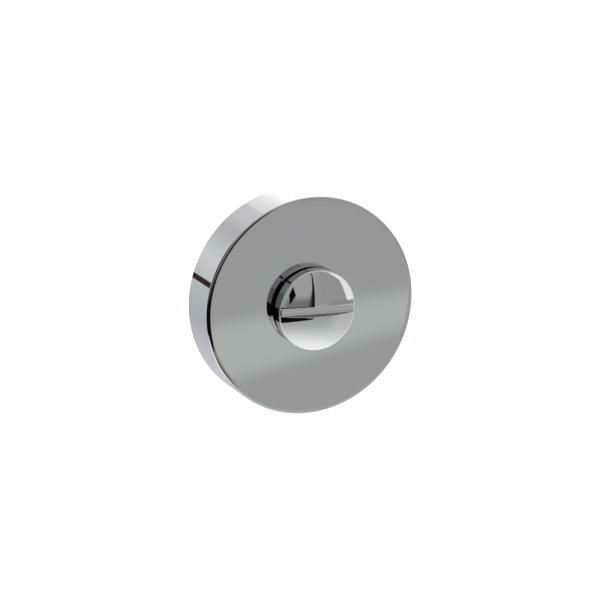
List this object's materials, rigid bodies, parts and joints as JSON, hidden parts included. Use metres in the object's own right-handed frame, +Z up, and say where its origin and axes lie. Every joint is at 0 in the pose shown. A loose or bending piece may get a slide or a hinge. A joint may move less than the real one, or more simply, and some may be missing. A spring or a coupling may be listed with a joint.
{
  "type": "bathroom lock turn with coin slot",
  "caption": "Round chrome rose with a small domed turn that has a straight coin slot, on a ribbed base with a square spindle for a bathroom lock.",
  "frame": {"origin": "centre of the face that lies on the door, on the turn's axis", "axes": "+Z up, +Y into the door along the turn's axis, +X to the right seen from the room"},
  "size_m": [0.05, 0.0521, 0.05],
  "materials": {
    "polished_chrome": "mirror-polished chrome plate on brass",
    "black_nylon": "moulded glass-filled nylon",
    "zinc_plate": "bright zinc plate on steel",
    "spring_steel": "drawn spring steel",
    "white_acetal": "turned natural acetal",
    "phosphated_steel": "dark phosphated spring steel"
  },
  "bodies": {
    "rose": {"cover_rose": "polished_chrome", "base_plate": "black_nylon", "clamp_plate": "zinc_plate", "snap_ring": "spring_steel", "bearing_bush": "white_acetal", "wear_washer": "white_acetal", "wood_screws": "zinc_plate"},
    "turn": {"thumb_turn": "polished_chrome", "thrust_washer": "white_acetal", "wave_washer": "spring_steel", "stop_washer": "zinc_plate", "circlip": "phosphated_steel", "spindle": "zinc_plate", "spindle_pin": "spring_steel"}
  },
  "joints": [
    {"name": "turn_hinge", "type": "hinge", "parent": "rose", "child": "turn", "pos_m": [0, 0, 0], "axis": [0, 1, 0], "range_deg": [0, 90]}
  ]
}
